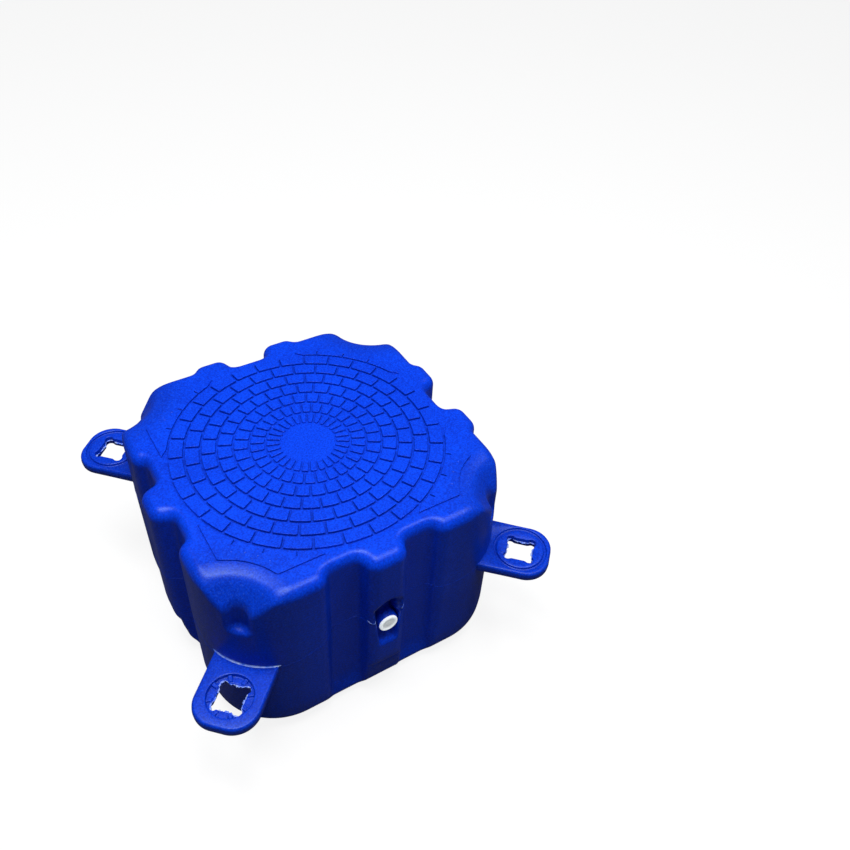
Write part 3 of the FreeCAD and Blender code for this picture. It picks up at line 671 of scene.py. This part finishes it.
def raised_pads(name, loops, rise, rim, blue):
    """Pads over plan loops: a wall, a rounded rim and one face on top each, shaded flat."""
    points, faces = [], []
    levels = ((-0.25, -PAD_ROOT), (0.0, rise - rim), (0.3 * rim, rise - 0.3 * rim), (rim, rise))
    for loop in loops:
        start = len(points)
        count = len(loop)
        for amount, height in levels:
            moved = inset_loop(loop, amount)
            points.extend(np.column_stack([moved, np.full(count, DECK + height)]).tolist())
        faces += grid_faces(len(levels), count, start=start)
        faces.append(list(range(start + (len(levels) - 1) * count, start + len(levels) * count)))
    return mesh_piece(name, points, faces, blue, smooth=[len(face) == 4 for face in faces])


def brick_loop(inner, middle, half):
    """A brick's plan: two arcs about the centre and two sides that run beside the grooves, corners cut off.

    At a radius the side lies at half minus the arc sine of half the groove over the radius, from the middle.
    """
    outer = inner + BRICK_LENGTH
    radii, turns = [], []
    for radius, inward, order in ((inner, BRICK_ROUND, -1), (outer, -BRICK_ROUND, 1)):
        end, wide = (half - math.asin(GROOVE_HALF / r) for r in (radius + inward, radius))
        cut = BRICK_ROUND / radius
        radii += [radius + inward] + [radius] * 5 + [radius + inward]
        turns.append(np.concatenate([[-end], np.linspace(-(wide - cut), wide - cut, 5), [end]])[::order])
    r, a = np.array(radii), np.concatenate(turns) + middle
    return np.column_stack([r * np.cos(a), r * np.sin(a)])


def tread_bricks(blue):
    """Rings of bricks, each ring turned half a brick from the one inside it."""
    half = math.pi / BRICK_COUNT
    loops = [brick_loop(TREAD_START + RING_PITCH * ring, 2 * half * (brick + 0.5 * (ring % 2)), half)
             for ring in range(RING_COUNT) for brick in range(BRICK_COUNT)]
    return raised_pads("tread_bricks", loops, 2.0, 0.4, blue)


def panel_loop(turn, stubs):
    """One corner panel: ring arc inside, straight edges and an arc about the lug hole outside.

    Radius as a function of angle. Inside it is 215 mm, or the line where both sides' ends at 76 mm lie; outside
    it is the nearest of the two straight edges at 208 mm and the arc of 111 mm about the lug hole. Each stub is
    a short groove from the ring arc outwards, at its angle in degrees.
    """
    angles = np.radians(np.linspace(20.07, 69.93, 61))
    node = math.hypot(GRID, GRID)
    swing = angles - math.pi / 4
    aside = node * np.sin(swing)
    reach = node * np.cos(swing) - np.sqrt(np.maximum(PANEL_SCOOP ** 2 - aside ** 2, 0))
    reach = np.where(np.abs(aside) < PANEL_SCOOP, reach, 1e3)
    outer = np.minimum(np.minimum(PANEL_EDGE / np.cos(angles), PANEL_EDGE / np.sin(angles)), reach)
    line = (PANEL_EDGE + PANEL_END) / (math.sqrt(2) * np.sin(angles + math.pi / 4))
    inner = np.maximum(PANEL_START, line)
    stubs = np.radians(stubs)
    kept = (np.abs(angles[:, None] - stubs) > math.radians(0.6)).all(1)
    kept[[0, -1]] = False
    wide = STUB_HALF / STUB_MIDDLE
    slots = (stubs[:, None] + [wide, wide, -wide, -wide]).ravel()
    back = np.concatenate([angles[kept], slots])
    radii = np.concatenate([inner[kept], np.tile([PANEL_START, STUB_END, STUB_END, PANEL_START], len(stubs))])
    order = np.argsort(-back, kind="stable")
    r = np.concatenate([outer, radii[order]])
    a = np.concatenate([angles, back[order]]) + turn
    return np.column_stack([r * np.cos(a), r * np.sin(a)])


def tread_panels(blue):
    """The raised field at each corner, with its three short grooves in step with the outermost ring."""
    stubs = {0: (36, 48, 60), 90: (30, 42, 54), 180: (36, 48, 60), 270: (30, 42, 54)}
    loops = [panel_loop(math.radians(turn), places) for turn, places in stubs.items()]
    return raised_pads("tread_panels", loops, 1.2, 0.3, blue)


def tread_pips(blue):
    """Small domes on three panels: rows of points on circles about the lug hole."""
    spots = [(-185.9, -142.0), (-170.4, -152.7), (-157.2, -166.4), (-146.5, -182.4),
             (182.4, -149.5), (163.9, -164.1), (148.3, -183.3), (-160.4, 164.0), (-176.5, 152.0)]
    rows, sides = 6, 16
    points, faces = [], []
    around = np.linspace(0, 2 * math.pi, sides + 1)[:-1]
    for x, y in spots:
        start = len(points)
        for turn in np.linspace(0, 1.35, rows):
            reach = PIP_RADIUS * math.cos(turn)
            ring = np.column_stack([x + reach * np.cos(around), y + reach * np.sin(around),
                                    np.full(sides, DECK + PIP_FOOT + PIP_RISE * math.sin(turn))])
            points.extend(ring.tolist())
        faces += grid_faces(rows, sides, start=start)
        faces.append(list(range(len(points) - sides, len(points))))
    return mesh_piece("tread_pips", points, faces, blue)


# The neck and the plug, turned about the plug's axis

def turned_about_plug(name, profile, material):
    """A profile of (radius, distance in front of the grid line) turned about the plug's axis."""
    segments = 96
    angles = np.arange(segments) * (2 * math.pi / segments)
    rows = [np.column_stack([r * np.cos(angles), np.full(segments, -GRID - d),
                             PLUG_LEVEL + r * np.sin(angles)]) for r, d in profile]
    faces = grid_faces(len(rows), segments)
    return mesh_piece(name, np.concatenate(rows), faces, material)


def plug_neck(blue):
    """The blue neck: a short tube out of the niche with a rounded end."""
    profile = [(21, -13.5), (18.6, -12.0), (17.5, -10.5), (17.0, -8.5), (17.0, 4.4), (16.6, 5.4),
               (15.8, 5.95), (15.0, 6.0), (12.2, 6.0)]
    return turned_about_plug("plug_neck", profile, blue)


def vent_plug(white):
    """The white plug's head: a rounded rim around a dished centre."""
    profile = [(11.7, 2.0), (11.7, 6.0), (14.6, 6.0), (14.95, 6.4), (15.0, 7.0), (15.0, 8.6), (14.8, 9.3),
               (14.4, 9.8), (13.7, 10.0), (12.2, 10.0), (11.5, 9.8), (11.0, 9.3), (10.4, 8.8), (9.6, 8.5),
               (8.6, 8.4), (4.5, 8.4), (4.1, 8.5), (3.8, 8.8), (3.4, 8.95), (2.8, 9.0), (0.02, 9.0)]
    return turned_about_plug("vent_plug_head", profile, white)


# Materials

def linear(code):
    """An sRGB hex colour as linear red, green, blue and alpha."""
    values = [int(code[k:k + 2], 16) / 255 for k in (1, 3, 5)]
    return tuple(v / 12.92 if v <= 0.04045 else ((v + 0.055) / 1.055) ** 2.4 for v in values) + (1.0,)


def add_node(tree, kind, inputs=None, stops=(), **settings):
    """Add a node with its settings; each input, by name or number, takes a value or another node's output.

    Stops are a colour ramp's places and hex colours.
    """
    item = tree.nodes.new(kind)
    for name, value in settings.items():
        setattr(item, name, value)
    for name, value in (inputs or {}).items():
        if isinstance(value, bpy.types.NodeSocket):
            tree.links.new(value, item.inputs[name])
        else:
            item.inputs[name].default_value = value
    for number, (place, code) in enumerate(stops):
        item.color_ramp.elements[number].position = place
        item.color_ramp.elements[number].color = linear(code)
    return item


def new_material(name):
    """An empty material, its node tree, and the output that gives each point's place on the object."""
    material = bpy.data.materials.new(name)
    material.use_nodes = True
    tree = material.node_tree
    tree.nodes.clear()
    return material, tree, add_node(tree, "ShaderNodeTexCoord").outputs["Object"]


def cells(size):
    """A noise's scale from the width of its cells in millimetres."""
    return 1 / (size * MM)


# Widths of the patterns' cells in millimetres. The sandblasted grain is really about 0.2 mm wide, and pores,
# specks and bloom half a millimetre; the pale specks are painted glints of the grain. That is too fine to show
# in the render, so they are drawn as coarse as they need to show.
GRAIN = 2.381
PORES = 2.778
GLINTS = 2.222
CLOUDS = 111.1        # slow changes of the dye across a wall
DRAWN_PATCHES = 6.25  # where flash is drawn thinner and thicker
WHITE_CLOUDS = 8.333
BLOOM = 2.5


def moulded_blue():
    """Blow-moulded polyethylene, dyed blue: a fine sandblasted grain and a soft, waxy shine.

    The colour follows the pores and, by a quarter, the clouds. Pale specks lie over it as painted glints of the
    grain, many within 100 mm of a lug hole's axis, where the colour is a fifth darker too as painted shade, and
    few from 140 mm on. Creases are darker by up to half, by how closed in they are over 6 mm, as painted shade.
    The grain makes the shine uneven, and the shine is faintly blue.
    """
    material, tree, place = new_material("blue_polyethylene")
    grain, pores, cloud, glint = (
        add_node(tree, "ShaderNodeTexNoise", {"Vector": place, "Scale": cells(size), "Detail": detail,
                                              "Roughness": roughness}).outputs["Fac"]
        for size, detail, roughness in ((GRAIN, 4.0, 0.65), (PORES, 2.0, 0.6), (CLOUDS, 3.0, 0.5),
                                        (GLINTS, 2.0, 0.7)))
    blend = add_node(tree, "ShaderNodeMixRGB", {"Fac": 0.25, "Color1": pores, "Color2": cloud})
    tint = add_node(tree, "ShaderNodeValToRGB", {"Fac": blend.outputs["Color"]},
                    stops=((0.36, "#0030C4"), (0.64, "#024AFA")))

    # How far a point is from the nearest lug hole's axis: once x and y are positive, one axis serves all four
    folded = add_node(tree, "ShaderNodeVectorMath", {0: place}, operation="ABSOLUTE")
    level = add_node(tree, "ShaderNodeVectorMath", {0: folded.outputs[0], 1: (1, 1, 0)}, operation="MULTIPLY")
    reach = add_node(tree, "ShaderNodeVectorMath", {0: level.outputs[0], 1: (GRID * MM, GRID * MM, 0)},
                     operation="DISTANCE")
    lug_zone = {"Value": reach.outputs["Value"], "From Min": 0.10, "From Max": 0.14}
    near = add_node(tree, "ShaderNodeMapRange", {**lug_zone, "To Min": 0.6, "To Max": 0.14})
    # Painted shade: the colour a fifth darker within 100 mm of a lug hole's axis, on the scoops and lugs.
    lug_shade = add_node(tree, "ShaderNodeMapRange", {**lug_zone, "To Min": 0.8})

    # Pale specks: painted glints of the grain, most within 100 mm of a lug hole's axis.
    glint_dots = add_node(tree, "ShaderNodeMapRange", {"Value": glint, "From Min": 0.58, "From Max": 0.74})
    amount = add_node(tree, "ShaderNodeMath", {0: glint_dots.outputs["Result"], 1: near.outputs["Result"]},
                      operation="MULTIPLY")
    base = add_node(tree, "ShaderNodeMixRGB",
                    {"Fac": amount.outputs[0], "Color1": tint.outputs["Color"], "Color2": linear("#3E74FF")})

    # Painted shade: creases darker by up to half, by how closed in they are over 6 mm.
    crease = add_node(tree, "ShaderNodeAmbientOcclusion", {"Distance": 0.006}, samples=4)
    crease_shade = add_node(tree, "ShaderNodeMapRange",
                    {"Value": crease.outputs["AO"], "From Min": 0.35, "From Max": 0.9, "To Min": 0.52})
    painted_shade = add_node(tree, "ShaderNodeMath", {0: crease_shade.outputs["Result"], 1: lug_shade.outputs["Result"]},
                    operation="MULTIPLY")
    shaded = add_node(tree, "ShaderNodeMixRGB",
                      {"Fac": 1.0, "Color1": base.outputs["Color"], "Color2": painted_shade.outputs[0]},
                      blend_type="MULTIPLY")

    rough = add_node(tree, "ShaderNodeMapRange", {"Value": grain, "To Min": 0.25, "To Max": 0.43})
    bump = add_node(tree, "ShaderNodeBump", {"Height": grain, "Strength": 0.25, "Distance": 0.001})
    shader = add_node(tree, "ShaderNodeBsdfPrincipled",
                      {"Base Color": shaded.outputs["Color"], "Roughness": rough.outputs["Result"],
                       "Normal": bump.outputs["Normal"], "IOR": 1.5, "Specular IOR Level": 0.29,
                       "Specular Tint": linear("#D8F4FF")})
    add_node(tree, "ShaderNodeOutputMaterial", {"Surface": shader.outputs["BSDF"]})
    return material


def flash_blue():
    """The same plastic where it is drawn thin, at flash and rolled edges: paler, in patches, and glossier."""
    material, tree, place = new_material("drawn_blue_polyethylene")
    patch = add_node(tree, "ShaderNodeTexNoise",
                     {"Vector": place, "Scale": cells(DRAWN_PATCHES), "Detail": 2.0})
    tint = add_node(tree, "ShaderNodeValToRGB", {"Fac": patch.outputs["Fac"]},
                    stops=((0.35, "#3F72F6"), (0.7, "#B4CCFC")))
    shader = add_node(tree, "ShaderNodeBsdfPrincipled",
                      {"Base Color": tint.outputs["Color"], "Roughness": 0.3, "IOR": 1.5})
    add_node(tree, "ShaderNodeOutputMaterial", {"Surface": shader.outputs["BSDF"]})
    return material


def moulded_white():
    """Injection-moulded polyethylene, white and unfilled: a soft shine, and light that passes through it.

    A faint painted glow, though the plug is no lamp, lightens the head where the niche shades it. It is twice
    as strong at the rim, from 12.5 mm off the plug's axis on, as within 9.5 mm of it.
    """
    material, tree, place = new_material("white_polyethylene")
    cloud = add_node(tree, "ShaderNodeTexNoise",
                     {"Vector": place, "Scale": cells(WHITE_CLOUDS), "Detail": 2.0})
    tint = add_node(tree, "ShaderNodeValToRGB", {"Fac": cloud.outputs["Fac"]},
                    stops=((0.0, "#F2F4F5"), (1.0, "#FAFBFB")))
    level = add_node(tree, "ShaderNodeVectorMath", {0: place, 1: (1, 0, 1)}, operation="MULTIPLY")
    reach = add_node(tree, "ShaderNodeVectorMath", {0: level.outputs[0], 1: (0, 0, PLUG_LEVEL * MM)},
                     operation="DISTANCE")
    # Painted glow: emission that lightens the shaded head, stronger at the rim.
    glow = add_node(tree, "ShaderNodeMapRange",
                    {"Value": reach.outputs["Value"], "From Min": 0.0095, "From Max": 0.0125, "To Min": 0.32,
                     "To Max": 0.62})
    shader = add_node(tree, "ShaderNodeBsdfPrincipled",
                      {"Base Color": tint.outputs["Color"], "Roughness": 0.35, "IOR": 1.5,
                       "Subsurface Weight": 0.5, "Subsurface Scale": 0.006,
                       "Subsurface Radius": (1.0, 1.0, 1.0), "Emission Color": linear("#E8F0F4"),
                       "Emission Strength": glow.outputs["Result"]})
    add_node(tree, "ShaderNodeOutputMaterial", {"Surface": shader.outputs["BSDF"]})
    return material


def seal_black():
    """Black nitrile rubber: matt, with a faint bloom."""
    material, tree, place = new_material("black_nitrile_rubber")
    bloom = add_node(tree, "ShaderNodeTexNoise", {"Vector": place, "Scale": cells(BLOOM), "Detail": 2.0})
    tint = add_node(tree, "ShaderNodeValToRGB", {"Fac": bloom.outputs["Fac"]},
                    stops=((0.0, "#161616"), (1.0, "#222222")))
    shader = add_node(tree, "ShaderNodeBsdfPrincipled",
                      {"Base Color": tint.outputs["Color"], "Roughness": 0.75})
    add_node(tree, "ShaderNodeOutputMaterial", {"Surface": shader.outputs["BSDF"]})
    return material


def studio_floor():
    """A matt floor: white to the camera with a faint shadow, dimmer to the light that it sends back up."""
    material, tree, _ = new_material("studio_floor")
    path = add_node(tree, "ShaderNodeLightPath")
    glow = add_node(tree, "ShaderNodeEmission", {"Color": (1, 1, 1, 1), "Strength": 0.87})
    shade = add_node(tree, "ShaderNodeBsdfDiffuse", {"Color": (0.18, 0.18, 0.18, 1)})
    seen = add_node(tree, "ShaderNodeAddShader", {0: glow.outputs[0], 1: shade.outputs[0]})
    dim = add_node(tree, "ShaderNodeBsdfDiffuse", {"Color": (0.1, 0.1, 0.1, 1)})
    mix = add_node(tree, "ShaderNodeMixShader",
                   {"Fac": path.outputs["Is Camera Ray"], 1: dim.outputs[0], 2: seen.outputs[0]})
    add_node(tree, "ShaderNodeOutputMaterial", {"Surface": mix.outputs[0]})
    return material


# Camera, lights and floor

# The photograph's camera: its place in metres, its heading, pitch and roll in degrees
EYE = (-0.38448, -0.87677, 1.29502)
HEADING, PITCH, ROLL = 34.504, 43.372, 4.081
FOCAL = 853.6         # its focal length in pixels of a picture that is
PICTURE = 850         # pixels wide
SENSOR = 36.0
AIM = (0, 0, 0.2)     # where the lamps point
FLOOR_HALF = 9000


def make_camera():
    """The photograph's view, as a pinhole."""
    heading, pitch, roll = (math.radians(angle) for angle in (HEADING, PITCH, ROLL))
    level = math.cos(pitch)
    ahead = Vector((level * math.sin(heading), level * math.cos(heading), -math.sin(pitch)))
    right = Vector((math.cos(heading), -math.sin(heading), 0))
    up = right.cross(ahead)
    across = right * math.cos(roll) + up * math.sin(roll)
    above = up * math.cos(roll) - right * math.sin(roll)
    data = bpy.data.cameras.new("camera")
    data.sensor_width = SENSOR
    data.lens = SENSOR * FOCAL / PICTURE
    data.clip_end = 50
    camera = bpy.data.objects.new("camera", data)
    camera.matrix_world = Matrix((
        (across.x, above.x, -ahead.x, EYE[0]),
        (across.y, above.y, -ahead.y, EYE[1]),
        (across.z, above.z, -ahead.z, EYE[2]),
        (0, 0, 0, 1),
    ))
    bpy.context.scene.collection.objects.link(camera)
    bpy.context.scene.camera = camera


def make_light(name, place, width, depth, watts):
    """An oblong area lamp, its place and size in metres, that points at the float."""
    data = bpy.data.lights.new(name, "AREA")
    data.shape = "RECTANGLE"
    data.size = width
    data.size_y = depth
    data.energy = watts
    lamp = bpy.data.objects.new(name, data)
    lamp.location = place
    lamp.rotation_euler = (Vector(AIM) - Vector(place)).to_track_quat("-Z", "Y").to_euler()
    bpy.context.scene.collection.objects.link(lamp)


def make_studio():
    """A floor, a world that is white to the camera and gives a little cool light, and two lamps.

    The key lamp lights from above. The strip lamp, on the right, puts the shine on the front's upper edges.
    """
    plan = FLOOR_HALF * np.array([(-1, -1, 0), (1, -1, 0), (1, 1, 0), (-1, 1, 0)])
    floor = mesh_piece("floor", plan, [(0, 1, 2, 3)], studio_floor())
    world = bpy.data.worlds.new("studio")
    world.use_nodes = True
    tree = world.node_tree
    tree.nodes.clear()
    path = add_node(tree, "ShaderNodeLightPath")
    soft = add_node(tree, "ShaderNodeBackground", {"Color": (0.9, 0.95, 1.0, 1), "Strength": 0.11})
    seen = add_node(tree, "ShaderNodeBackground", {"Color": (1, 1, 1, 1), "Strength": 1.0})
    mix = add_node(tree, "ShaderNodeMixShader",
                   {"Fac": path.outputs["Is Camera Ray"], 1: soft.outputs[0], 2: seen.outputs[0]})
    add_node(tree, "ShaderNodeOutputWorld", {"Surface": mix.outputs[0]})
    bpy.context.scene.world = world
    make_light("key", (-0.35, -0.15, 3.1), width=2.0, depth=0.75, watts=74)
    make_light("strip", (1.25, -0.45, 2.95), width=1.6, depth=0.4, watts=26)


# Putting it together

make_camera()
make_studio()
blue = moulded_blue()
white = moulded_white()
thin = flash_blue()
spots, normals = outline_path(3.0, 1.2, 46)
seam = seam_level(spots)
top, seam_line = upper_shell(spots, normals, seam, blue)
bottom = lower_shell(spots, normals, seam, seam_line, blue)
body_pieces = [top, bottom, seam_bead(seam_line, normals, blue), tread_bricks(blue), tread_panels(blue),
               tread_pips(blue), plug_neck(blue)]
body_pieces += [lug_piece(corner, blue) for corner in LUG_RANKS]
body_pieces += [hole_flash(corner, thin) for corner in LUG_RANKS]
body_pieces += [lug_cove(corner, blue if rank else thin) for corner, rank in LUG_RANKS.items()]
body_pieces.append(flash_thread("flash_thread_left", FLASH_LEFT, thin))
body_pieces.append(flash_thread("flash_thread_right", FLASH_RIGHT, thin))
for piece in body_pieces:
    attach(piece, "root")
    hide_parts("float_body")
head = vent_plug(white)
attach(head, "root")
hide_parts("vent_plug")
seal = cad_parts["plug_seal"]
seal.data.materials.clear()
seal.data.materials.append(seal_black())

bpy.context.scene.view_settings.view_transform = "Standard"
